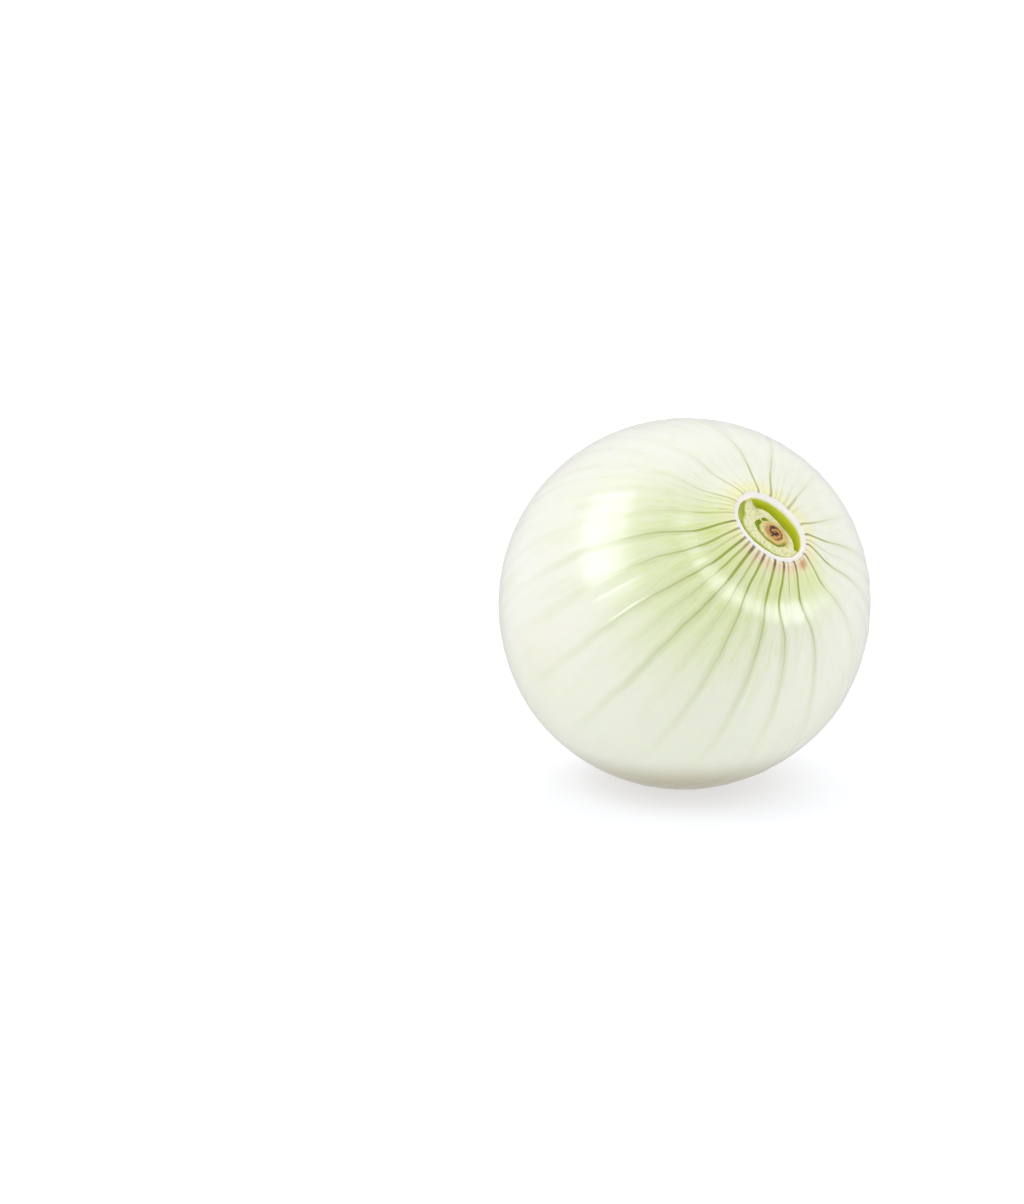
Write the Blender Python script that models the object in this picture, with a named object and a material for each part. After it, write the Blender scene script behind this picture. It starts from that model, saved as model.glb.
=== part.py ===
# A peeled, trimmed onion, lying on its side as it comes to rest on a table.
# The bulb grew as one piece, so it is one closed solid: a turned meridian whose rings are then
# reshaped by formula into the oval cut neck, its leaf bases and gaps, the ribs over the veins
# and the trimmed root face.

import math
import random

import bmesh
import bpy
from mathutils import Matrix, Vector

# Driving dimensions, in metres
BULB_RADIUS = 0.040
NECK_LONG = 0.0178
NECK_SHORT = 0.0139
NECK_HEIGHT = 0.0384
ROOT_DEPTH = 0.0385
ROOT_FACE_RADIUS = 0.0095
REST_FLAT_DEPTH = 0.0018
REST_SAG = 0.0009

# How it lies: the neck leans from upright towards -Y, after the bulb is rolled about its own axis
NECK_LEAN = math.radians(53.5)
BULB_ROLL = math.radians(28.9)

# The neck sits in a shallow collar, and the root end tapers a little
COLLAR_DEPTH = 0.0019
COLLAR_RADIUS = 0.0145
COLLAR_WIDTH = 0.0062
ROOT_TAPER = 0.0006
ROOT_TAPER_RADIUS = 0.0120
ROOT_TAPER_WIDTH = 0.0060
OVAL_REACH = 0.0060

# The cut neck lies a little askew and a little aside of the bulb's axis
NECK_TILT = math.radians(8.0)
NECK_ASIDE = (-0.00040, 0.00025)

# The skin sags a little where it faces down: cosines between which the sag grows to its full depth
SAG_SPAN = (0.5, 1.0)

# Veins run down from the neck, each under a low rib
VEIN_COUNT = 40
COLUMNS_PER_VEIN = 3
COLUMNS = VEIN_COUNT * COLUMNS_PER_VEIN
RIB_HEIGHT = 0.00016
RIB_STRENGTHS = (0.45, 1.0)
RIB_SEED = 11
RIB_FADE = (0.15, 0.95)

# Slow unevenness round the bulb, and how the veins lean aside: height or radians, waves, and phase
LOBES = [(0.00030, 2, 0.7), (0.00018, 3, 2.1)]
LEANS = [(0.022, 5, 1.0), (0.014, 9, 2.6)]
LEAN_LOSS = 0.4

# Ring spacing down the outside
COLLAR_RINGS = 7
COLLAR_END = 0.0230
BODY_RINGS = 17

MM = 0.001

# Each ring of the cut neck, from the middle outwards, in millimetres: semi-axes along the neck's short
# and long directions, shift of its centre along each, and how far it lies under the cut's rim at
# the bridges between the gaps, in the wide gap, and in the narrow slit.
NECK_RINGS = [
    # short, long, shift, shift, bridge, wide, slit
    (0.65, 0.85, 0.35, -1.30, 1.00, 1.00, 1.00),
    (1.38, 1.65, 0.28, -1.35, 1.10, 1.10, 1.10),
    (1.95, 3.05, -0.18, -0.92, 0.95, 1.00, 0.85),
    (2.30, 3.46, -0.23, -0.88, 1.10, 1.15, 1.90),
    (2.64, 3.88, -0.28, -0.85, 0.90, 1.00, 0.70),
    (3.78, 6.95, -1.22, 0.05, 0.60, 0.80, 0.40),
    (3.92, 7.10, -1.20, 0.05, 0.75, 3.20, 1.50),
    (5.30, 7.68, -0.55, 0.18, 0.75, 3.20, 1.50),
    (5.45, 7.82, -0.52, 0.20, 0.10, 0.10, 0.10),
    (6.15, 8.30, -0.45, 0.22, -0.12, -0.12, -0.12),
    (6.95, 8.90, -0.40, 0.25, 0.10, 0.10, 0.10),
]

# Arcs in degrees round the neck where the gaps lie, from the short axis: start, end, and the rise at
# each end
WIDE_GAP = (-80.0, 66.0, 10.0)
SLIT_GAP = (76.0, 242.0, 18.0)
CORE_SHIFT = (0.35, -1.30)
CORE_DEPTH = 1.45

# Rings of the trimmed root face, from the outside inwards: share of its radius, and depth in millimetres
ROOT_RINGS = [
    (1.00, 0.00),
    (0.90, -0.05),
    (0.84, 0.25),
    (0.78, 0.02),
    (0.62, 0.04),
    (0.56, 0.32),
    (0.50, 0.06),
    (0.30, 0.25),
    (0.15, 0.50),
]
ROOT_CENTRE_DEPTH = 0.55

# Looks, as linear colour, roughness and metallic value
SKIN_COLOUR = (0.78, 0.82, 0.60, 1.0)
SKIN_ROUGHNESS = 0.28
SKIN_METALLIC = 0.0
SHARP_ANGLE = math.radians(40)

# How close two points count as one, in metres
WELD = 1e-6
CUT_WELD = 1e-7


def smooth_step(low, high, value):
    """0 below low, 1 above high, and a smooth rise between them."""
    share = min(1.0, max(0.0, (value - low) / (high - low)))
    return share * share * (3.0 - 2.0 * share)


def bell(value, centre, width):
    return math.exp(-(((value - centre) / width) ** 2))


def arc_share(angle, start, end, rise):
    """0 outside an arc given in degrees, 1 inside it, and a round rise at each end."""
    along = (math.degrees(angle) - start) % 360.0
    if along > end - start:
        return 0.0
    share = min(1.0, along / rise, (end - start - along) / rise)
    return math.sqrt(1.0 - (1.0 - share) ** 2)


def waves(rows, angle):
    return sum(size * math.sin(count * angle + phase) for size, count, phase in rows)


def clear_scene():
    for obj in list(bpy.data.objects):
        bpy.data.objects.remove(obj)


def outside_height(radius, sign):
    """Height of the outside over the bulb's middle, at a distance from its axis: +1 above, -1 below."""
    sphere = math.sqrt(max(0.0, BULB_RADIUS**2 - radius**2))
    if sign > 0:
        return sphere - COLLAR_DEPTH * bell(radius, COLLAR_RADIUS, COLLAR_WIDTH)
    return -sphere + ROOT_TAPER * bell(radius, ROOT_TAPER_RADIUS, ROOT_TAPER_WIDTH)


def neck_profile():
    """(radius, height) of the cut neck's rings, from the middle out, before they are made oval."""
    rings = [(0.0, NECK_HEIGHT - CORE_DEPTH * MM)]
    for short, long_side, _, _, bridge, _, _ in NECK_RINGS:
        rings.append(((short + long_side) / 2 * MM, NECK_HEIGHT - bridge * MM))
    return rings


def outside_profile():
    """(radius, height) of the collar, the body and the root shoulder, from the neck down."""
    rings = []
    start = (NECK_LONG + NECK_SHORT) / 4
    for i in range(1, COLLAR_RINGS + 1):
        radius = start + (COLLAR_END - start) * i / COLLAR_RINGS
        rings.append((radius, outside_height(radius, 1)))
    first = math.asin(COLLAR_END / BULB_RADIUS)
    last = math.pi - math.asin(ROOT_FACE_RADIUS / BULB_RADIUS)
    for i in range(1, BODY_RINGS):
        angle = first + (last - first) * i / BODY_RINGS
        radius = BULB_RADIUS * math.sin(angle)
        rings.append((radius, outside_height(radius, math.cos(angle))))
    return rings


def root_profile():
    """(radius, height) of the trimmed root face, from its edge to its middle."""
    rings = [(share * ROOT_FACE_RADIUS, -ROOT_DEPTH + depth * MM) for share, depth in ROOT_RINGS]
    return rings + [(0.0, -ROOT_DEPTH + ROOT_CENTRE_DEPTH * MM)]


def turned_bulb(profile):
    """A closed mesh turned from the profile. Each vertex keeps the number of its ring."""
    mesh = bmesh.new()
    ring_layer = mesh.verts.layers.int.new("ring")
    line = []
    for number, (radius, height) in enumerate(profile):
        vertex = mesh.verts.new((radius, 0.0, height))
        vertex[ring_layer] = number
        line.append(vertex)
    edges = [mesh.edges.new(pair) for pair in zip(line, line[1:])]
    bmesh.ops.spin(
        mesh,
        geom=line + edges,
        cent=(0.0, 0.0, 0.0),
        axis=(0.0, 0.0, 1.0),
        angle=math.tau,
        steps=COLUMNS,
        use_merge=True,
    )
    bmesh.ops.remove_doubles(mesh, verts=mesh.verts, dist=WELD)
    bmesh.ops.recalc_face_normals(mesh, faces=mesh.faces)
    return mesh, ring_layer


def askew_oval(angle, short, long_side):
    """A point of an oval that lies askew, as the cut neck does."""
    across = short * math.cos(angle - NECK_TILT)
    along = long_side * math.sin(angle - NECK_TILT)
    cosine, sine = math.cos(NECK_TILT), math.sin(NECK_TILT)
    return across * cosine - along * sine, across * sine + along * cosine


def place_neck_vertex(vertex, angle, ring):
    """Moves a vertex of the cut neck on to its own oval, and down into the gaps between leaf bases."""
    short, long_side, shift_short, shift_long, bridge, wide, slit = NECK_RINGS[ring]
    depth = bridge + (wide - bridge) * arc_share(angle, *WIDE_GAP)
    depth += (slit - bridge) * arc_share(angle, *SLIT_GAP)
    x, y = askew_oval(angle, short, long_side)
    vertex.co = Vector(((shift_short + x) * MM, (shift_long + y) * MM, NECK_HEIGHT - depth * MM))


def place_outside_vertex(vertex, angle, strengths, downward):
    """Gives a vertex of the outside the neck's oval, the bulb's slow lobes, its vein's rib and the sag."""
    radius = math.hypot(vertex.co.x, vertex.co.y)
    start = (NECK_LONG + NECK_SHORT) / 4
    near_neck = math.exp(-(radius - start) / OVAL_REACH) if vertex.co.z > 0 else 0.0
    stretch = near_neck * (NECK_LONG - NECK_SHORT) / (NECK_LONG + NECK_SHORT)
    away_from_ends = smooth_step(start, BULB_RADIUS * 0.6, radius)
    down = 0.5 - vertex.co.z / (2 * BULB_RADIUS)
    fade = (1.0 - smooth_step(*RIB_FADE, down)) * smooth_step(start, COLLAR_RADIUS, radius)
    vein = (angle / math.tau * VEIN_COUNT) % VEIN_COUNT
    nearest = round(vein) % VEIN_COUNT
    rib = strengths[nearest] * math.cos(math.tau * vein)
    swell = waves(LOBES, angle) * away_from_ends + RIB_HEIGHT * fade * rib
    outward = vertex.co.normalized()
    swell -= REST_SAG * smooth_step(*SAG_SPAN, outward @ downward)
    turned = angle + waves(LEANS, angle) * (1.0 - LEAN_LOSS * down)
    height = vertex.co.z + outward.z * swell
    reach = radius + math.hypot(outward.x, outward.y) * swell
    x, y = askew_oval(turned, reach * (1 - stretch), reach * (1 + stretch))
    vertex.co = Vector((x + NECK_ASIDE[0] * near_neck, y + NECK_ASIDE[1] * near_neck, height))


def shape_bulb(mesh, ring_layer, last_outside, downward):
    """Reshapes every ring of the turned mesh into the onion. Down is given in the bulb's own frame."""
    draw = random.Random(RIB_SEED)
    strengths = [draw.uniform(*RIB_STRENGTHS) for _ in range(VEIN_COUNT)]
    for vertex in mesh.verts:
        ring = vertex[ring_layer]
        angle = math.atan2(vertex.co.y, vertex.co.x)
        if ring == 0:
            vertex.co = Vector((CORE_SHIFT[0] * MM, CORE_SHIFT[1] * MM, vertex.co.z))
        elif ring <= len(NECK_RINGS):
            place_neck_vertex(vertex, angle, ring - 1)
        elif ring <= last_outside:
            place_outside_vertex(vertex, angle, strengths, downward)


def flatten_rest(mesh, placing):
    """Cuts the small flat spot that the onion rests on, level with the table."""
    inverse = placing.inverted()
    cut = bmesh.ops.bisect_plane(
        mesh,
        geom=mesh.verts[:] + mesh.edges[:] + mesh.faces[:],
        dist=CUT_WELD,
        plane_co=inverse @ Vector((0.0, 0.0, 0.0)),
        plane_no=inverse.to_3x3() @ Vector((0.0, 0.0, -1.0)),
        clear_outer=True,
    )
    rim = [item for item in cut["geom_cut"] if isinstance(item, bmesh.types.BMEdge)]
    bmesh.ops.edgeloop_fill(mesh, edges=rim)
    bmesh.ops.recalc_face_normals(mesh, faces=mesh.faces)


def skin_material():
    material = bpy.data.materials.new("onion_flesh")
    material.use_nodes = True
    shader = material.node_tree.nodes["Principled BSDF"]
    shader.inputs["Base Color"].default_value = SKIN_COLOUR
    shader.inputs["Roughness"].default_value = SKIN_ROUGHNESS
    shader.inputs["Metallic"].default_value = SKIN_METALLIC
    return material


def make_bulb(collection):
    outside = outside_profile()
    mesh, ring_layer = turned_bulb(neck_profile() + outside + root_profile())
    lifted = Matrix.Translation((0.0, 0.0, BULB_RADIUS - REST_FLAT_DEPTH))
    placing = lifted @ Matrix.Rotation(NECK_LEAN, 4, "X") @ Matrix.Rotation(BULB_ROLL, 4, "Z")
    downward = placing.to_3x3().inverted() @ Vector((0.0, 0.0, -1.0))
    shape_bulb(mesh, ring_layer, len(NECK_RINGS) + len(outside), downward)
    flatten_rest(mesh, placing)
    data = bpy.data.meshes.new("bulb")
    mesh.to_mesh(data)
    mesh.free()
    data.materials.append(skin_material())
    data.shade_smooth()
    data.set_sharp_from_angle(angle=SHARP_ANGLE)
    bulb = bpy.data.objects.new("bulb", data)
    bulb.matrix_world = placing
    collection.objects.link(bulb)
    return bulb


def main():
    clear_scene()
    collection = bpy.data.collections.new("onion")
    bpy.context.scene.collection.children.link(collection)
    make_bulb(collection)


main()
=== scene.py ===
import math
import random
from bisect import bisect_right
from functools import lru_cache
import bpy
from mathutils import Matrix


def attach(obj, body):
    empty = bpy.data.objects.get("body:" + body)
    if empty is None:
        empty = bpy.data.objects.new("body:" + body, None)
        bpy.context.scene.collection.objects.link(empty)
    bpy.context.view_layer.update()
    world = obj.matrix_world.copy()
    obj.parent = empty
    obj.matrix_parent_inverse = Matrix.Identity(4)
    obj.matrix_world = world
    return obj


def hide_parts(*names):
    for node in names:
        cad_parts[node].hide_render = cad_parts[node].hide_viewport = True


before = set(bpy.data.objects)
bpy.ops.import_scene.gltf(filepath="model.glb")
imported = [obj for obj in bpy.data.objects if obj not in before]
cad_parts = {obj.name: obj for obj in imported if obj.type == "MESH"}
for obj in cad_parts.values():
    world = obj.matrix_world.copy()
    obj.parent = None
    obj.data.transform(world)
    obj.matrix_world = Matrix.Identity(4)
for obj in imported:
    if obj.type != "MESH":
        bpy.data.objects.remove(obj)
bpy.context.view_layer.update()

from types import SimpleNamespace

import bmesh
import bpy
from mathutils import Matrix, Quaternion, Vector, noise

# Peeled onion lying on its side: the bulb, its cut neck and its trimmed root face, all one mesh.
# Sizes are in millimetres in the onion's own frame: its axis along Z with the neck up, X across the
# oval neck towards the side where it stands open, Y along the oval.

mm = 0.001

bulb = {
    "radius": 40.0,
    "lean": 53.5,  # degrees, how far the neck leans from upright
    "roll": 28.9,  # degrees, turn about its own axis
    "flatDepth": 1.8,  # how much of the underside is pressed flat
    "sag": 0.9,  # the skin round it is a little flatter than the round
    "sagFrom": 0.5,  # cosine, from straight down, where the sag begins
    "collarDepth": 1.9,  # shallow collar round the neck
    "collarRadius": 14.5,
    "collarWidth": 6.2,
    "collarEnd": 23.0,
    "taper": 0.6,  # the root end draws in a little
    "taperRadius": 12.0,
    "taperWidth": 6.0,
    "lobe": 0.30,  # slow unevenness of the round
    "lobeWaves": [(2, 0.7, 1.0), (3, 2.1, 0.6)],  # how many round the axis, radians on, and share
    "lobeReach": 0.6,  # full from this share of the radius on
    "rib": 0.11,  # low rib over each vein
    "ribStart": (0.5, 6.0),  # mm down the skin, where it begins and where it is there
    "ribNear": 0.30,  # how much of it there is by the neck
    "ribGrowth": (10.0, 26.0),  # mm down the skin, over which it becomes whole
    "ribEnd": (0.15, 0.95),  # share of the onion's height over which it dies out
    "columns": 600,
    "collarRings": 24,
    "collarSpread": 1.4,  # above 1 the rings stand closer by the neck
    "bodyRings": 46,
    "smoothings": 3,
    "weld": 1e-4,
}

neck = {
    "height": 38.4,
    "halfAcross": 6.95,
    "halfAlong": 8.9,
    "tilt": 8.0,  # degrees, the ovals lie a little askew
    "aside": (-0.40, 0.25),  # the cut isn't quite in the middle
    "ovalReach": 6.0,  # how far down the skin the oval dies out
    "fullness": 0.93,  # below 1 the ovals are fuller than an ellipse
    # Edges of the cut leaf bases, from the middle out: half size across and along, centre across and
    # along, depth under the rim at the bridges, on the open side and on the slit side, rings up to it
    "edges": [
        (0.00, 0.00, 0.35, -1.30, 1.45, 1.45, 1.45, 0),
        (0.65, 0.85, 0.35, -1.30, 1.00, 1.00, 1.00, 5),
        (1.38, 1.65, 0.28, -1.35, 1.10, 1.10, 1.10, 5),
        (1.95, 3.05, -0.18, -0.92, 0.95, 1.00, 0.85, 6),
        (2.10, 3.22, -0.20, -0.90, 1.10, 1.15, 1.90, 3),
        (2.50, 3.70, -0.26, -0.87, 1.10, 1.15, 1.90, 4),
        (2.64, 3.88, -0.28, -0.85, 0.90, 1.00, 0.70, 3),
        (3.78, 6.95, -1.22, 0.05, 0.60, 0.80, 0.40, 9),
        (3.92, 7.10, -1.20, 0.05, 0.75, 3.20, 1.50, 8),
        (5.30, 7.68, -0.55, 0.18, 0.75, 3.20, 1.50, 6),
        (5.45, 7.82, -0.52, 0.20, 0.10, 0.10, 0.10, 8),
        (6.15, 8.30, -0.45, 0.22, -0.12, -0.12, -0.12, 4),
        (6.95, 8.90, -0.40, 0.25, 0.10, 0.10, 0.10, 4),
    ],
    "core": 2,  # which edge ends the core, the slit, the middle leaf base, and which is the rim's
    "slit": (4, 5),
    "leaf": 7,
    "rim": 10,
    # Arcs in degrees where the gaps lie: from, to, and over how much they open at each end
    "openSide": (-80, 63, 14, 4),
    "slitSide": (79, 242, 22, 24),
    "coreSlit": (84, 285, 12, 34),
    # the middle leaf base swells and draws in: place and width in degrees, and mm
    "leafSwell": [(28, 14, 0.45), (-15, 16, -0.30), (109, 24, -1.10), (215, 24, 0.30)],
    "corePit": (60, 8, 0.6),  # small hole beyond the slit's end: place, half width, share of its depth
    "slitHead": (116, 15, 0.85),  # the slit is widest at its head: place, width in degrees, and mm
    "shutShare": 0.9,  # where its gap is shut, the middle leaf base lies this close to the rim
    "wave": 0.16,  # mm, how unevenly the leaf bases run round
    "waveSize": (2.2, 0.8),  # waves round the axis, and from edge to edge
    "grain": 0.10,  # mm, how rough the cut is
    "grainSize": 1.6,
}
neckEnd = len(neck["edges"]) - 1  # number of the outermost edge, where the skin begins
neckRadius = (neck["halfAcross"] + neck["halfAlong"]) / 2
mapStep = 10.0  # mm down the skin that count as much as the way from edge to edge

root = {
    "depth": 38.5,
    "radius": 9.5,
    "rings": [  # share of the radius and depth, from the edge in, where the cut scales end
        (1.00, 0.00),
        (0.90, -0.05),
        (0.84, 0.25),
        (0.78, 0.02),
        (0.62, 0.04),
        (0.56, 0.32),
        (0.50, 0.06),
        (0.30, 0.25),
        (0.15, 0.50),
        (0.00, 0.55),
    ],
    "steps": 22,
    "stubs": 46,  # cut roots on the basal plate
    "stubReach": 4.6,
    "stubWidth": 0.34,
    "stubHeight": 0.22,
    "stubTurn": 2.39996,  # radians from one to the next
    "stubSpan": 2.5,  # widths, past which a stub has no height
}

# Veins round the neck: angle in degrees, strength, reach down the skin in mm, sway and bend in
# degrees. Between two that stand further apart than a gap, a weaker and shorter one is drawn.
veins = {
    "main": [
        (-175, 0.95, 38, -2, 0.5), (-167, 0.50, 26, 0, 0), (-159, 0.75, 36, 2, -0.5),
        (-151, 0.35, 17, 1, 0), (-142, 1.00, 33, 0, -1), (-128, 0.95, 32, 1, -4),
        (-121, 0.40, 19, 1, -1), (-108, 1.00, 34, -2, -4), (-95, 0.30, 16, 2, -1),
        (-81, 0.65, 26, -2, -2), (-72, 0.25, 14, 0, 0), (-61, 0.80, 26, -1, -2),
        (-53, 0.40, 18, 1, 0), (-43, 0.80, 22, -1, 0.5), (-25, 0.55, 17, 2, 0),
        (-5, 0.25, 9, 0, 0), (3, 0.50, 17, -2, 0), (17, 0.25, 13, 3, 0),
        (30, 0.60, 23, -1, 0), (50, 0.60, 26, 7, -2), (66, 0.20, 12, 3, 0),
        (82, 0.45, 20, 4, 1.5), (102, 0.45, 17, 2, 2), (114, 0.30, 17, 2, 0),
        (126, 0.40, 25, 1, 0), (140, 0.85, 36, -2, 2), (153, 0.65, 37, -3, 1.5),
        (161, 0.35, 19, 0, 0), (169, 0.85, 39, -4, 0.5), (177, 0.60, 26, -3, -0.5),
    ],
    "swayOver": (2.0, 30.0),  # mm down the skin, over which a vein drifts aside
    "bendAt": (9.0, 5.0),  # mm down the skin where it bends, and over how much of its length
    "gap": 11.0,  # degrees
    "weak": (0.12, 0.30),  # strength of the ones drawn in the gaps, their reach, and their place
    "short": (9.0, 17.0),
    "within": (0.40, 0.60),
    "seed": 5,
    "drySide": -132.0,  # degrees, where the skin by the neck has dried most
    "greenSide": 172.0,  # degrees, where it is greenest
}


def smoothStep(low, high, value):
    share = min(1.0, max(0.0, (value - low) / (high - low)))
    return share * share * (3.0 - 2.0 * share)


def bell(value, centre, width):
    return math.exp(-(((value - centre) / width) ** 2))


def mixed(a, b, share):
    return a + (b - a) * share


def arcShare(angle, start, end, easeIn, easeOut):
    # 0 outside an arc of degrees, rising evenly to 1 inside it
    around = (math.degrees(angle) - start) % 360.0
    length = end - start
    if around > length:
        return 0.0
    return min(1.0, around / easeIn, (length - around) / easeOut)


def turnedApart(angle, place):
    # degrees from one place round the axis to another, the short way
    return (math.degrees(angle) - place + 180.0) % 360.0 - 180.0


def rounded(share):
    # turns an even rise into a round end
    return math.sqrt(1.0 - (1.0 - share) ** 2)


def veinRows():
    # all veins in order of angle: the marked ones and the weak ones between them
    rows = sorted(veins["main"])
    draw = random.Random(veins["seed"])
    found = []
    for number, row in enumerate(rows):
        found.append(row)
        following = rows[(number + 1) % len(rows)][0]
        room = (following - row[0]) % 360
        if room > veins["gap"]:
            place = row[0] + room * draw.uniform(*veins["within"])
            strength, reach = draw.uniform(*veins["weak"]), draw.uniform(*veins["short"])
            found.append((place, strength, reach, row[3] * 0.5, row[4] * 0.5))
    return found


def columnAngle(column):
    return math.tau * column / bulb["columns"]


def oval(angle, across, along, power):
    # a point of an oval that lies askew as the neck does
    turn = math.radians(neck["tilt"])
    cosine, sine = math.cos(angle - turn), math.sin(angle - turn)
    x = math.copysign(abs(cosine) ** power, cosine) * across
    y = math.copysign(abs(sine) ** power, sine) * along
    return x * math.cos(turn) - y * math.sin(turn), x * math.sin(turn) + y * math.cos(turn)


@lru_cache(maxsize=None)
def opened(column):
    # how far the gap round the middle leaf base is open, on the open side and on the slit side
    angle = columnAngle(column)
    return arcShare(angle, *neck["openSide"]), arcShare(angle, *neck["slitSide"])


@lru_cache(maxsize=None)
def neckEdge(number, column):
    # place of one edge of the neck in a column: across, along, and depth under the rim
    across, along, midAcross, midAlong, bridge, openSide, slitSide, _ = neck["edges"][number]
    angle = columnAngle(column)
    cosine, sine = math.cos(angle), math.sin(angle)
    x, y = oval(angle, across, along, neck["fullness"])
    x += midAcross
    y += midAlong
    if number in (neck["leaf"], neck["leaf"] + 1):
        for place, width, swell in neck["leafSwell"]:
            x += cosine * swell * bell(turnedApart(angle, place), 0.0, width)
            y += sine * swell * bell(turnedApart(angle, place), 0.0, width)
    openShare, slitShare = opened(column)
    if number in neck["slit"]:
        openShare = 0.0
        slitShare = arcShare(angle, *neck["coreSlit"])
        place, width, share = neck["corePit"]
        slitShare = max(slitShare, share * bell(turnedApart(angle, place), 0.0, width))
    depth = bridge + (openSide - bridge) * rounded(openShare)
    return x, y, depth + (slitSide - bridge) * rounded(slitShare)


def neckSpot(station, column):
    # a point of the cut neck, between the two edges that it lies between
    inner = min(int(station), len(neck["edges"]) - 2)
    share = station - inner
    low, high = neckEdge(inner, column), neckEdge(inner + 1, column)
    x, y, depth = (mixed(a, b, share) for a, b in zip(low, high))
    angle = columnAngle(column)
    cosine, sine = math.cos(angle), math.sin(angle)
    shut = 1.0 - rounded(max(opened(column)))
    leaf, rim = neck["leaf"], neck["rim"]
    leafShare = smoothStep(leaf - 1.0, leaf, station)
    leafShare *= 1.0 - smoothStep(rim - 2.0, rim - 0.5, station)
    rimX, rimY, _ = neckEdge(rim - 1, column)
    x = mixed(x, rimX, shut * leafShare * neck["shutShare"])
    y = mixed(y, rimY, shut * leafShare * neck["shutShare"])
    place, width, reach = neck["slitHead"]
    head = reach * bell(turnedApart(angle, place), 0.0, width) * bell(station, neck["slit"][1], 1.0)
    perTurn, perEdge = neck["waveSize"]
    spot = Vector((perTurn * cosine, perTurn * sine, station * perEdge))
    wave = neck["wave"] * noise.noise(spot)
    inside = smoothStep(0.0, 1.0, station) * (1.0 - smoothStep(rim, rim + 1.5, station))
    x += (head + wave * inside) * cosine
    y += (head + wave * inside) * sine
    grain = noise.noise(Vector((x * neck["grainSize"], y * neck["grainSize"], 3.0)))
    return Vector((x, y, neck["height"] - depth + neck["grain"] * grain * inside))


def outsideHeight(radius, sign):
    sphere = math.sqrt(max(0.0, bulb["radius"] ** 2 - radius**2))
    if sign > 0:
        return sphere - bulb["collarDepth"] * bell(radius, bulb["collarRadius"], bulb["collarWidth"])
    return -sphere + bulb["taper"] * bell(radius, bulb["taperRadius"], bulb["taperWidth"])


def outsideRings():
    # (radius, height, distance down the skin) of the collar, the body and the root shoulder
    radii = []
    for i in range(1, bulb["collarRings"] + 1):
        share = (i / bulb["collarRings"]) ** bulb["collarSpread"]
        radii.append((mixed(neckRadius, bulb["collarEnd"], share), 1))
    first = math.asin(bulb["collarEnd"] / bulb["radius"])
    last = math.pi - math.asin(root["radius"] / bulb["radius"])
    for i in range(1, bulb["bodyRings"]):
        turn = mixed(first, last, i / bulb["bodyRings"])
        radii.append((bulb["radius"] * math.sin(turn), math.cos(turn)))
    rings = []
    down = 0.0
    before = (neckRadius, neck["height"])
    for radius, sign in radii:
        height = outsideHeight(radius, sign)
        down += math.dist(before, (radius, height))
        rings.append((radius, height, down))
        before = (radius, height)
    return rings


def rootHeight(share):
    # depth of the trimmed root face at a share of its radius
    rows = root["rings"]
    for (outer, a), (inner, b) in zip(rows, rows[1:]):
        if share >= inner:
            return mixed(b, a, smoothStep(inner, outer, share))
    return rows[-1][1]


def rootSpot(share, angle):
    # a point of the root face
    reach = share * root["radius"]
    x, y = reach * math.cos(angle), reach * math.sin(angle)
    return Vector((x, y, -root["depth"] + rootHeight(share) - stubHeight(x, y)))


def stubHeight(x, y):
    # the cut roots stand in a spiral on the basal plate
    height = 0.0
    span = root["stubSpan"] * root["stubWidth"]
    if math.hypot(x, y) > root["stubReach"] + span:
        return height
    for number in range(root["stubs"]):
        reach = root["stubReach"] * math.sqrt((number + 0.5) / root["stubs"])
        turn = number * root["stubTurn"]
        apart = math.hypot(x - reach * math.cos(turn), y - reach * math.sin(turn))
        if apart < span:
            height = max(height, root["stubHeight"] * bell(apart, 0.0, root["stubWidth"]))
    return height


def veinPlace(angle, rows, down):
    # vein coordinate at an angle and a distance down the skin, and the nearest vein's strength,
    # reach and spacing; each vein drifts aside by its sway as it runs down, and bends on the way
    drift, bend = smoothStep(*veins["swayOver"], down), bell(down, *veins["bendAt"])
    edges = [row[0] + row[3] * drift + row[4] * bend for row in rows]
    turns, past = divmod(math.degrees(angle) - edges[0], 360.0)
    number = bisect_right(edges, edges[0] + past) - 1
    following = edges[number + 1] if number + 1 < len(edges) else edges[0] + 360.0
    spacing = following - edges[number]
    share = (edges[0] + past - edges[number]) / spacing
    nearest = rows[number] if share < 0.5 else rows[(number + 1) % len(rows)]
    return turns * len(rows) + number + share, nearest, math.radians(spacing)


def outsideSpot(radius, height, down, angle, vein, strength):
    # a point of the skin: the neck's oval, the slow lobes, and the rib over the nearest vein
    nearNeck = math.exp(-(radius - neckRadius) / neck["ovalReach"]) if height > 0 else 0.0
    stretch = nearNeck * (neck["halfAlong"] - neckRadius) / neckRadius
    away = smoothStep(neckRadius, bulb["radius"] * bulb["lobeReach"], radius)
    lobes = sum(size * math.sin(count * angle + on) for count, on, size in bulb["lobeWaves"])
    share = 0.5 - height / (2 * bulb["radius"])
    fade = (1.0 - smoothStep(*bulb["ribEnd"], share)) * smoothStep(*bulb["ribStart"], down)
    fade *= mixed(bulb["ribNear"], 1.0, smoothStep(*bulb["ribGrowth"], down))
    rib = bulb["rib"] * strength * math.cos(math.tau * vein) * fade
    swell = bulb["lobe"] * lobes * away + rib
    outward = Vector((radius, height)).normalized()
    normal = Vector((outward.x * math.cos(angle), outward.x * math.sin(angle), outward.y))
    swell -= bulb["sag"] * smoothStep(bulb["sagFrom"], 1.0, normal @ downward())
    reach = radius + outward.x * swell
    power = mixed(1.0, neck["fullness"], nearNeck)
    x, y = oval(angle, reach * (1 - stretch), reach * (1 + stretch), power)
    aside = neck["aside"]
    return Vector((x + aside[0] * nearNeck, y + aside[1] * nearNeck, height + outward.y * swell))


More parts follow.
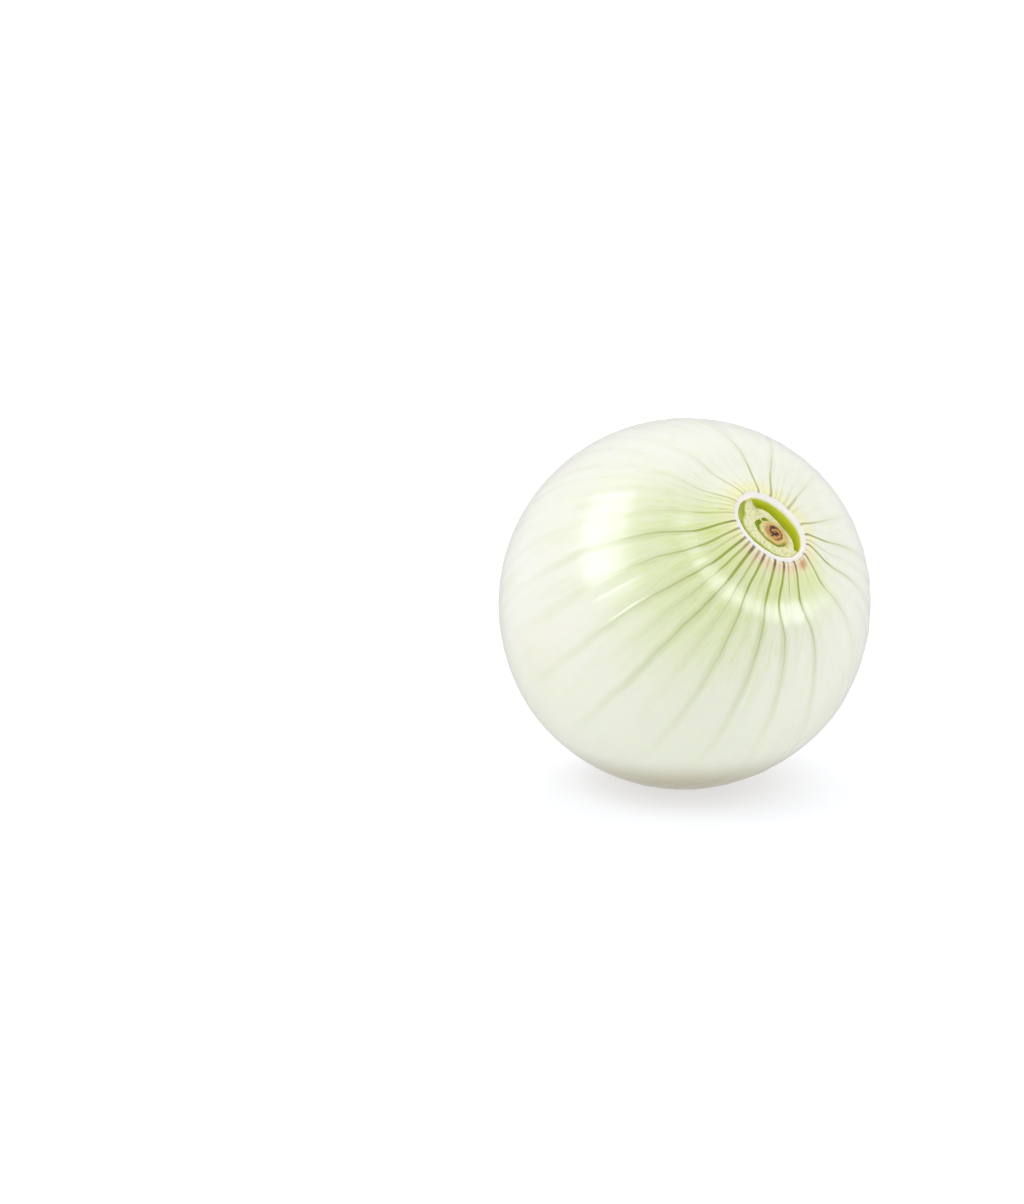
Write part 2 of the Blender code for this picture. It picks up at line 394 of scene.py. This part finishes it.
def stationRings():
    # every ring of the neck as a station between its edges: 0 at the middle, whole numbers at edges
    stations = []
    for number, edge in enumerate(neck["edges"][1:]):
        stations += [number + i / edge[7] for i in range(1, edge[7] + 1)]
    return stations


def wrapGrid(mesh, rows):
    # wraps a grid of rings and columns round the onion's axis, from the middle of its neck to the
    # middle of its root face, and returns the vertices of the cut neck
    stations = [0.0] + stationRings()
    outside = outsideRings()
    rootShares = [1.0 - i / root["steps"] for i in range(root["steps"] + 1)]
    skinStart, rootStart = len(stations), len(stations) + len(outside)
    ringCount = rootStart + len(rootShares)
    columns = bulb["columns"]
    bmesh.ops.create_grid(mesh, x_segments=columns, y_segments=ringCount - 1, size=1.0)
    names = ("vein", "station", "veinStrength", "veinReach", "veinGap")
    layers = [mesh.verts.layers.float.new(name) for name in names]
    cut = []
    for vertex in mesh.verts:
        column = round((vertex.co.x + 1.0) / 2.0 * columns)
        ring = round((1.0 - vertex.co.y) / 2.0 * (ringCount - 1))
        angle = columnAngle(column)
        station = stations[min(ring, skinStart - 1)]
        down = outside[min(ring, rootStart - 1) - skinStart][2] if ring >= skinStart else 0.0
        vein, nearest, spacing = veinPlace(angle, rows, down)
        if ring < skinStart:
            vertex.co = neckSpot(station, column % columns)
        elif ring < rootStart:
            vertex.co = outsideSpot(*outside[ring - skinStart], angle, vein, nearest[1])
        else:
            vertex.co = rootSpot(rootShares[ring - rootStart], angle)
        if 0 < ring <= skinStart:
            cut.append(vertex)
        away = max(math.hypot(vertex.co.x, vertex.co.y), 0.1)
        told = (vein, station + down / mapStep, nearest[1], nearest[2], spacing * away)
        for layer, value in zip(layers, told):
            vertex[layer] = value
    return cut


def mapVeins(mesh):
    # across the map one unit for each vein, along it the stations from the neck's middle
    vein, station = (mesh.verts.layers.float[name] for name in ("vein", "station"))
    uv = mesh.loops.layers.uv.new("veins")
    for face in mesh.faces:
        face.smooth = True
        for loop in face.loops:
            loop[uv].uv = (loop.vert[vein], loop.vert[station])


def weldShut(mesh, cut):
    # joins the grid's ends, and eases the edges of the cut neck
    bmesh.ops.remove_doubles(mesh, verts=mesh.verts, dist=bulb["weld"])
    bmesh.ops.recalc_face_normals(mesh, faces=mesh.faces)
    cut = [vertex for vertex in cut if vertex.is_valid]
    for _ in range(bulb["smoothings"]):
        bmesh.ops.smooth_vert(mesh, verts=cut, factor=0.5,
                              use_axis_x=True, use_axis_y=True, use_axis_z=True)


def makeBulb():
    rows = veinRows()
    mesh = bmesh.new()
    cut = wrapGrid(mesh, rows)
    mapVeins(mesh)
    weldShut(mesh, cut)
    mesh.transform(placingMatrix())
    for vertex in mesh.verts:
        vertex.co.z = max(0.0, vertex.co.z)  # pressed flat where it rests
    mesh.transform(Matrix.Scale(mm, 4))
    data = bpy.data.meshes.new("onion_bulb")
    mesh.to_mesh(data)
    mesh.free()
    piece = bpy.data.objects.new("onion_bulb", data)
    bpy.context.scene.collection.objects.link(piece)
    print("bulb made:", len(data.vertices), "vertices,", len(rows), "veins")
    return piece


@lru_cache(maxsize=None)
def downward():
    # which way is down, in the onion's own frame
    return placingMatrix().to_3x3().inverted() @ Vector((0.0, 0.0, -1.0))


def placingMatrix():
    # from the onion's own frame to where it lies, in millimetres
    lift = Matrix.Translation((0.0, 0.0, bulb["radius"] - bulb["flatDepth"]))
    lean = Matrix.Rotation(math.radians(bulb["lean"]), 4, "X")
    return lift @ lean @ Matrix.Rotation(math.radians(bulb["roll"]), 4, "Z")


class Wire:
    # a socket of a shader, with sums written as sums
    def __init__(self, finish, socket):
        self.finish = finish
        self.socket = socket

    def sum(self, kind, *values):
        return self.finish.add("Math", {"operation": kind}, dict(enumerate(values)))

    def __add__(self, other):
        return self.sum("ADD", self, other)

    def __radd__(self, other):
        return self.sum("ADD", other, self)

    def __sub__(self, other):
        return self.sum("SUBTRACT", self, other)

    def __rsub__(self, other):
        return self.sum("SUBTRACT", other, self)

    def __mul__(self, other):
        return self.sum("MULTIPLY", self, other)

    def __rmul__(self, other):
        return self.sum("MULTIPLY", other, self)

    def __truediv__(self, other):
        return self.sum("DIVIDE", self, other)

    def __pow__(self, other):
        return self.sum("POWER", self, other)

    def __abs__(self):
        return self.sum("ABSOLUTE", self)

    def larger(self, other):
        return self.sum("MAXIMUM", self, other)

    def rise(self, low, high):
        # 0 below low, 1 above high, smooth between; falls where low is the greater
        return self.finish.add("MapRange", {"interpolation_type": "SMOOTHSTEP"},
                               {"Value": self, "From Min": low, "From Max": high})

    def parts(self):
        # the three numbers of a place
        node = self.finish.add("SeparateXYZ", None, {0: self}).socket.node
        return [Wire(self.finish, output) for output in node.outputs]


class Finish:
    # one material: its nodes are added by a type, their settings, and what goes into their sockets
    def __init__(self, name):
        self.material = bpy.data.materials.new(name)
        self.material.use_nodes = True
        self.nodes = self.material.node_tree.nodes
        self.links = self.material.node_tree.links
        self.shader = self.nodes["Principled BSDF"]

    def add(self, kind, settings=None, sockets=None, out=0):
        node = self.nodes.new("ShaderNode" + kind)
        for name, value in (settings or {}).items():
            setattr(node, name, value)
        for name, value in (sockets or {}).items():
            self.feed(node.inputs[name], value)
        return Wire(self, node.outputs[out])

    def feed(self, socket, value):
        if isinstance(value, Wire):
            self.links.new(value.socket, socket)
        elif isinstance(value, str):
            socket.default_value = paint(value)
        else:
            socket.default_value = value

    def mix(self, share, a, b):
        # colour a turning into colour b, through the colour sockets of a Mix node
        return self.add("Mix", {"data_type": "RGBA"}, {0: share, 6: a, 7: b}, out=2)

    def vector(self, kind, *values, out="Vector"):
        return self.add("VectorMath", {"operation": kind}, dict(enumerate(values)), out)

    def noise(self, place, scale, detail, roughness):
        return self.add("TexNoise", None, {"Vector": place, "Scale": scale, "Detail": detail,
                                           "Roughness": roughness})

    def set(self, **values):
        for name, value in values.items():
            self.feed(self.shader.inputs[name.replace("_", " ")], value)


def paint(text):
    # linear colour from a hex code
    channels = [int(text[i:i + 2], 16) / 255 for i in (1, 3, 5)]
    return tuple(((c + 0.055) / 1.055) ** 2.4 if c > 0.04045 else c / 12.92 for c in channels) + (1,)


flesh = {
    "roughness": 0.34,
    "coat": (0.35, 0.65),  # on the cut neck, and how much more on the skin
    "coatRoughness": 0.19,
    "relief": 0.00015,  # metres

    # patterns: scale, detail and roughness
    "fine": (42.0, 3.0, 0.6),  # streaks down the skin
    "broad": (11.0, 2.0, 0.5),
    "streakRun": 0.006,  # how fast the streaks change on their way down, for each mm
    "mottle": (1.5, 3.0, 0.65),
    "cloud": (0.045, 2.0, 0.5),
    "wander": (0.16, 2.0, 0.5),  # of the veins to either side
    "wanderShare": 0.22,

    # tints of the skin
    "milky": "#F4F5EA",
    "cream": "#F0ECDC",
    # painted shade, low on the round
    "paintedShade": "#E5EACF",
    # painted shade where it rests: dark tan at the very bottom, by the floor
    "paintedRestShade": "#A1945A",
    "greenWash": "#E3EEB4",
    "greenNear": "#E6EDA6",
    "streak": "#D2DE74",
    "collar": "#F3F0C8",
    "stripe": "#E9ECD4",
    "yellow": "#F0F4AE",
    "dry": "#F6DCB6",
    "amber": "#CC8640",
    "veinFar": "#C4CE94",
    "vein": "#9AAA22",
    "veinStart": "#938A4E",
    "veinRoot": "#6A5432",

    # Where each tint ends and where it is full, in mm down the skin from the rim
    "creamSpan": (30.0, 70.0),
    "washSpan": (20.0, 3.0),
    "sideSpan": (46.0, 14.0),
    "sideShorter": 16.0,  # how much sooner the side's wash ends underneath
    "nearSpan": (14.0, 3.0),
    "collarSpan": (6.0, 1.0),
    "stripeSpan": (8.0, 30.0),
    "fineSpan": (60.0, 4.0),
    "streakSpan": (34.0, 3.0),
    "streakStart": (0.5, 3.0),
    "yellowSpan": (3.0, 0.4),
    "drySpan": (4.0, 0.8),
    "veinStartSpan": (2.8, 0.8),
    "farStart": (4.0, 12.0),

    # the same in mm over the floor, and in mm from the middle of a stain by the rim
    "paintedShadeSpan": (52.0, 14.0),
    "paintedRestShadeSpan": (13.0, 2.0),
    "drySpot": (-0.8, -9.9),
    "amberSpan": (1.6, 0.3),

    # Sides of the onion: how far round they begin and are full, 1 being straight ahead
    "driedSide": (0.30, 0.85),
    "greenSide": (0.10, 0.95),
    "belowSide": (0.0, -0.9),

    # How strong each tint is; of two numbers, the second is what its own side of the onion adds
    "paintedShadeShare": 0.6,
    "washShare": (0.10, 0.90),
    "washStreaks": (0.62, 0.76),  # here the second is what the broad streaks add
    "sideShare": 0.85,
    "nearShare": (0.12, 0.88),
    "nearMost": 0.8,
    "collarShare": 0.75,
    "stripeShare": 0.45,
    "fineShare": (0.10, 0.36),
    "streakShare": (0.18, 0.42),
    "farShare": (0.28, 0.22),
    "yellowShare": 0.6,
    "dryShare": (0.04, 0.96),
    "dryMost": 0.8,
    "amberShare": 0.75,

    # A vein's line: its half width in mm, what a strong vein adds and what the neck adds; then its
    # shares, each with where it ends and where it is full in shares of the vein's reach
    "lineWidth": (0.19, 0.11, 0.09),
    "lineWide": (11.0, 7.0),  # mm down the skin
    "lineFades": [(0.50, 0.42, 0.26), (0.32, 0.72, 0.42), (0.18, 1.15, 0.6)],
    "farWidth": (0.25, 1.5),
    "farFade": (1.8, 0.5),

    # tints of the cut neck
    "rim": "#F3EEEA",
    "rimInner": "#FFFFF0",
    "rimDot": "#7A665E",
    "gap": "#DFE544",
    "gapDeep": "#C6CE34",
    "wall": "#D0DA62",
    "slitDeep": "#C9CE70",
    "slitHead": "#B2C01C",
    "leaf": "#EDEBBC",
    "leafGreen": "#C3CD78",
    "tan": "#DFB962",
    "core": "#C98F36",
    "coreDark": "#4C2A04",
    "gapSpan": (0.55, 0.85),  # mm under the rim, where the gaps' tints begin and are full
    "gapDeepSpan": (2.4, 4.2),
    "slitSpan": (1.05, 1.35),
    "tanSpan": (2.6, 1.9),  # mm from the core, where it ends and is full
    "coreMiddle": (-0.25, -0.30),  # mm
    "swirl": 6.0,  # radians for each mm from the core
    "swirlWander": (7.0, 1.1),  # radians, and scale

    # tints of the root face
    "rootPlate": "#D9A878",
    "rootScale": "#F0E4C8",
    "rootStub": "#B98A5A",
    "rootSpan": (-37.4, -38.0),  # mm along the axis
    "plateSpan": (5.8, 4.6),  # mm from the axis
    "stubSpan": (5.0, 4.4),
}


def readPlaces(finish):
    # where a spot lies: in the onion's own frame, over the floor, and on the map of the veins
    at = SimpleNamespace()
    place = finish.add("TexCoord", out="Object")
    inward = placingMatrix().inverted()
    at.own = finish.add("Mapping", None, {"Vector": place, "Location": inward.translation,
                                          "Rotation": inward.to_euler(), "Scale": [1 / mm] * 3})
    at.x, at.y, at.z = at.own.parts()
    at.height = place.parts()[2] * (1 / mm)
    across, at.station, _ = finish.add("UVMap", {"uv_map": "veins"}).parts()
    at.strength, at.reach, gap = (
        finish.add("Attribute", {"attribute_name": name}, out="Fac")
        for name in ("veinStrength", "veinReach", "veinGap")
    )
    at.down = (at.station - neckEnd) * mapStep
    at.onSkin = at.station.rise(neckEnd - 0.3, neckEnd)
    flat = finish.vector("MULTIPLY", at.own, (1, 1, 0))
    at.fromAxis = finish.vector("LENGTH", flat, out="Value")

    # streaks that run down the skin, broad and fine, and how far the nearest vein is in mm
    around = finish.vector("NORMALIZE", flat)
    lengthways = finish.add("CombineXYZ", None, {"Z": at.down * flesh["streakRun"]})
    streaks = finish.vector("MULTIPLY_ADD", around, (1, 1, 0), lengthways)
    at.fine = finish.noise(streaks, *flesh["fine"])
    at.broad = finish.noise(streaks, *flesh["broad"])
    wander = (finish.noise(at.own, *flesh["wander"]) - 0.5) * flesh["wanderShare"]
    turned = across + wander + 0.5
    at.apart = abs(turned.sum("FRACT", turned) - 0.5) * gap
    at.mottle = finish.noise(at.own, *flesh["mottle"])
    return at


def facing(at, degrees):
    # 1 on the side of the axis at an angle, 0 a quarter turn from it and less behind
    turn = math.radians(degrees)
    return (at.x * math.cos(turn) + at.y * math.sin(turn)) / at.fromAxis.larger(1.0)


def veinLine(at):
    # 1 on a vein, less towards its end
    thin, strong, wide = flesh["lineWidth"]
    width = thin + strong * at.strength + wide * at.down.rise(*flesh["lineWide"])
    run = at.down / at.reach
    fades = [share * run.rise(end, full) for share, end, full in flesh["lineFades"]]
    return (1.0 - at.apart.rise(width * 0.35, width)) * (fades[0] + fades[1] + fades[2])


def paintSkin(finish, at):
    # milky, washed with green towards the neck and down its green side, dried by the rim; painted
    # shade low on the round and where it rests
    def layer(name, share):
        nonlocal tint
        tint = finish.mix(share, tint, flesh[name])

    def span(name):
        return at.down.rise(*flesh[name])

    def blend(name, side):
        least, more = flesh[name]
        return least + more * side

    dried = facing(at, veins["drySide"]).rise(*flesh["driedSide"])
    green = facing(at, veins["greenSide"]).rise(*flesh["greenSide"])
    below = (at.y / at.fromAxis.larger(1.0)).rise(*flesh["belowSide"])
    cloud = finish.noise(at.own, *flesh["cloud"])
    near = green.larger(dried)
    sideWash = green * (at.down + flesh["sideShorter"] * below).rise(*flesh["sideSpan"])
    wash = (span("washSpan") * blend("washShare", near)).larger(sideWash * flesh["sideShare"])
    far = (1.0 - at.apart.rise(*flesh["farWidth"])) * (at.down / at.reach).rise(*flesh["farFade"])

    tint = flesh["milky"]
    layer("cream", cloud.rise(0.42, 0.62) * span("creamSpan"))
    # painted shade: the lower half of the round is tinted darker
    layer("paintedShade", at.height.rise(*flesh["paintedShadeSpan"]) * flesh["paintedShadeShare"])
    layer("greenWash", wash * blend("washStreaks", at.broad))
    layer("greenNear", span("nearSpan") * blend("nearShare", near) * at.broad.rise(0.25, 0.7)
          * flesh["nearMost"])
    layer("collar", (at.down + (at.broad - 0.5) * 3.0).rise(*flesh["collarSpan"])
          * flesh["collarShare"])
    layer("stripe", at.broad.rise(0.5, 0.7) * span("stripeSpan") * flesh["stripeShare"])
    layer("greenWash", at.fine.rise(0.42, 0.72) * span("fineSpan") * blend("fineShare", green))
    layer("streak", at.fine.rise(0.50, 0.66) * span("streakSpan") * span("streakStart")
          * blend("streakShare", green))
    layer("veinFar", far * span("farStart") * at.strength * blend("farShare", green))
    layer("yellow", span("yellowSpan") * (1.0 - dried) * flesh["yellowShare"] * at.onSkin)
    layer("dry", (at.down + (at.fine - 0.5) * 2.5).rise(*flesh["drySpan"])
          * blend("dryShare", dried) * at.onSkin * flesh["dryMost"])
    spotX, spotY = flesh["drySpot"]
    fromSpot = ((at.x - spotX) ** 2.0 + (at.y - spotY) ** 2.0) ** 0.5
    layer("amber", fromSpot.rise(*flesh["amberSpan"]) * at.onSkin * flesh["amberShare"])

    atStart = (at.down + (at.broad - 0.5) * 2.0).rise(*flesh["veinStartSpan"])
    veinStart = finish.mix(dried, flesh["veinStart"], flesh["veinRoot"])
    veinTint = finish.mix(atStart, flesh["vein"], veinStart)
    tint = finish.mix(veinLine(at) * at.strength.rise(0.0, 0.9) * at.onSkin, tint, veinTint)
    # painted shade, dark tan over the last few mm above the floor where it rests
    layer("paintedRestShade", at.height.rise(*flesh["paintedRestShadeSpan"]))
    return tint


def paintNeck(finish, at, tint):
    # the cut rim, the leaf bases, the gaps between them, and the core
    rim, leaf, coreEdge = neck["rim"], neck["leaf"], neck["core"]
    station = at.station
    rimTint = finish.mix(station.rise(rim + 0.9, rim + 0.2), flesh["rim"], flesh["rimInner"])
    dots = (1.0 - at.apart.rise(0.18, 0.42)) * station.rise(neckEnd - 0.65, neckEnd - 0.2)
    rimTint = finish.mix(dots * at.strength.rise(0.1, 0.8) * 0.8, rimTint, flesh["rimDot"])
    tint = finish.mix(station.rise(neckEnd + 0.02, neckEnd - 0.2), tint, rimTint)
    leafTint = finish.mix(at.mottle.rise(0.44, 0.62) * 0.7, flesh["leaf"], flesh["leafGreen"])
    tint = finish.mix(station.rise(rim - 0.05, rim - 0.3), tint, leafTint)

    depth = neck["height"] - at.z
    inGap = station.rise(leaf - 0.2, leaf + 0.05) * station.rise(rim + 0.1, rim - 0.05)
    gapTint = finish.mix((at.x / 2.0).rise(-0.4, 0.6), flesh["wall"], flesh["gap"])
    gapTint = finish.mix(depth.rise(*flesh["gapDeepSpan"]), gapTint, flesh["gapDeep"])
    tint = finish.mix(depth.rise(*flesh["gapSpan"]) * inGap, tint, gapTint)

    coreSpot = (*neck["edges"][1][2:4], neck["height"])
    fromCore = finish.vector("SUBTRACT", at.own, coreSpot)
    coreX, coreY, _ = fromCore.parts()
    middleX, middleY = flesh["coreMiddle"]
    coreAway = ((coreX - middleX) ** 2.0 + (coreY - middleY) ** 2.0 * 0.42) ** 0.5
    inLeaf = station.rise(leaf - 0.3, leaf - 0.7)
    tint = finish.mix(coreAway.rise(*flesh["tanSpan"]) * inLeaf * 0.85, tint, flesh["tan"])
    curl = coreY.sum("ARCTAN2", coreY, coreX)
    turns = finish.vector("LENGTH", fromCore, out="Value") * flesh["swirl"] + curl
    wander, scale = flesh["swirlWander"]
    turns = turns + (finish.noise(at.own, scale, 2.0, 0.5) - 0.5) * wander
    swirl = turns.sum("SINE", turns).rise(-0.5, 0.7)
    coreTint = finish.mix(swirl, flesh["coreDark"], flesh["core"])
    tint = finish.mix(station.rise(coreEdge + 0.6, coreEdge - 0.1), tint, coreTint)
    inSlit = station.rise(leaf - 0.6, leaf - 1.0) * station.rise(2.6, 3.0)
    slitTint = finish.mix(at.y.rise(0.6, 2.2), flesh["slitDeep"], flesh["slitHead"])
    return finish.mix(depth.rise(*flesh["slitSpan"]) * inSlit, tint, slitTint)


def paintRoot(finish, at, tint):
    # the trimmed root face: the basal plate, the scales round it, and the cut roots
    plate = (at.fromAxis + (at.mottle - 0.5) * 1.5).rise(*flesh["plateSpan"])
    rootTint = finish.mix(plate, flesh["rootScale"], flesh["rootPlate"])
    stub = (at.z + root["depth"]).rise(0.25, 0.02) * at.fromAxis.rise(*flesh["stubSpan"])
    rootTint = finish.mix(stub, rootTint, flesh["rootStub"])
    return finish.mix(at.z.rise(*flesh["rootSpan"]), tint, rootTint)


def fleshFinish():
    finish = Finish("onion_flesh")
    at = readPlaces(finish)
    tint = paintRoot(finish, at, paintNeck(finish, at, paintSkin(finish, at)))
    least, more = flesh["coat"]
    relief = at.fine * 0.4 + at.broad * 0.6
    bump = {"Height": relief, "Strength": 0.22, "Distance": flesh["relief"]}
    finish.set(
        Base_Color=tint,
        Roughness=flesh["roughness"] + (at.fine - 0.5) * 0.16 + (1.0 - at.onSkin) * 0.15,
        Normal=finish.add("Bump", None, bump),
        IOR=1.42,
        Subsurface_Weight=0.35,
        Subsurface_Scale=0.003,
        Subsurface_Radius=(1.0, 0.85, 0.45),
        Coat_Weight=least + more * at.onSkin,
        Coat_Roughness=flesh["coatRoughness"],
        Coat_IOR=1.7,
    )
    print("flesh painted")
    return finish.material


stage = {
    "floorSize": 12.0,
    "floorTint": "#B4B4B5",
    "floorNear": "#CACBD0",  # its own glow near the object and far from it, so that it stays white
    "floorFar": "#EDEDED",
    "glowReach": (0.06, 0.60),
    "skyLevel": 0.63,
    "shapeTint": (0.78, 0.82, 1.0),  # colour of the lights that show as shapes
    # Name, direction from the onion, distance, width, height, radiance, degrees of spin, and whether
    # it only shows as a shape in the gloss or only fills in softly
    "lights": [
        ("window", (-0.722, 0.213, 0.658), 1.10, 0.48, 1.15, 2.7, 40.0, "shape"),
        ("low_window", (-0.899, -0.106, 0.424), 1.10, 0.56, 0.15, 2.1, 34.0, "shape"),
        ("left_fill", (-0.694, 0.270, 0.667), 1.10, 0.60, 0.85, 2.3, 0.0, "fill"),
        ("front_strip", (0.401, -0.745, 0.533), 1.10, 0.84, 0.20, 3.4, -42.6, "shape"),
        ("side_strip", (0.730, -0.593, 0.339), 1.10, 0.45, 0.20, 1.2, 0.0, "shape"),
        ("upper_strip", (0.140, -0.600, 0.790), 1.10, 0.22, 0.45, 1.5, 0.0, "shape"),
        ("right_fill", (0.780, -0.520, 0.350), 1.10, 0.90, 0.90, 0.8, 0.0, "fill"),
        ("back_fill", (0.800, 0.200, 0.560), 1.10, 0.80, 0.80, 0.8, 0.0, "fill"),
        ("top_fill", (0.20, 0.25, 0.95), 1.20, 1.00, 1.00, 1.3, 0.0, "fill"),
    ],
}


def makeFloor():
    mesh = bmesh.new()
    bmesh.ops.create_grid(mesh, x_segments=2, y_segments=2, size=stage["floorSize"] / 2)
    data = bpy.data.meshes.new("floor")
    mesh.to_mesh(data)
    mesh.free()
    finish = Finish("floor_white")
    away = finish.vector("LENGTH", finish.add("TexCoord", out="Object"), out="Value")
    glow = finish.mix(away.rise(*stage["glowReach"]), stage["floorNear"], stage["floorFar"])
    finish.set(Base_Color=stage["floorTint"], Roughness=0.7, Specular_IOR_Level=0.2,
               Emission_Color=glow, Emission_Strength=1.0)
    data.materials.append(finish.material)
    floor = bpy.data.objects.new("floor", data)
    floor.visible_glossy = False  # mirrored, it would turn the lower edge of the skin white
    bpy.context.scene.collection.objects.link(floor)
    print("floor laid")


def makeLight(name, direction, distance, width, height, radiance, spin, kind, target):
    data = bpy.data.lights.new(name, "AREA")
    data.shape = "RECTANGLE"
    data.size = width
    data.size_y = height
    data.energy = radiance * math.pi * width * height
    if kind == "shape":
        data.color = stage["shapeTint"]
    light = bpy.data.objects.new(name, data)
    away = Vector(direction).normalized()
    light.location = target + away * distance
    turned = away.to_track_quat("Z", "Y") @ Quaternion((0, 0, 1), math.radians(spin))
    light.rotation_euler = turned.to_euler()
    light.visible_glossy = kind == "shape"
    light.visible_diffuse = kind == "fill"
    bpy.context.scene.collection.objects.link(light)


def makeLights():
    world = bpy.data.worlds.new("studio")
    world.use_nodes = True
    background = world.node_tree.nodes["Background"]
    background.inputs["Color"].default_value = (1.0, 1.0, 1.0, 1.0)
    background.inputs["Strength"].default_value = stage["skyLevel"]
    bpy.context.scene.world = world
    middle = Vector((0.0, 0.0, bulb["radius"] * mm))
    for light in stage["lights"]:
        makeLight(*light, middle)
    bpy.context.scene.view_settings.view_transform = "Standard"
    print("lights set")


camera = {
    "azimuth": -35.65,  # degrees, 0 looks along +Y
    "elevation": 14.0,
    "distance": 0.717,
    "lens": 100.0,
    "sensor": 36.0,
    "frame": (1024, 1204),
    "bulbAt": (684.5, 605.0),  # pixel of the bulb's middle in that frame
}


def makeCamera():
    turn, rise = math.radians(camera["azimuth"]), math.radians(camera["elevation"])
    back = Vector((math.sin(turn) * math.cos(rise), -math.cos(turn) * math.cos(rise), math.sin(rise)))
    middle = Vector((0.0, 0.0, (bulb["radius"] - bulb["flatDepth"]) * mm))
    width, height = camera["frame"]
    focal = camera["lens"] / camera["sensor"] * max(width, height)
    right, below = camera["bulbAt"][0] - width / 2, camera["bulbAt"][1] - height / 2
    look = back.to_track_quat("Z", "Y")
    look = look @ Quaternion((0, 1, 0), math.atan(right / focal))
    look = look @ Quaternion((1, 0, 0), math.atan(below / math.hypot(right, focal)))
    data = bpy.data.cameras.new("camera")
    data.lens = camera["lens"]
    data.sensor_width = camera["sensor"]
    seen = bpy.data.objects.new("camera", data)
    seen.location = middle + back * camera["distance"]
    seen.rotation_euler = look.to_euler()
    bpy.context.scene.collection.objects.link(seen)
    bpy.context.scene.camera = seen
    print("camera placed")


makeCamera()
makeLights()
makeFloor()
onion = makeBulb()
onion.data.materials.append(fleshFinish())
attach(onion, "root")
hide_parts("bulb")

print("onion finished")
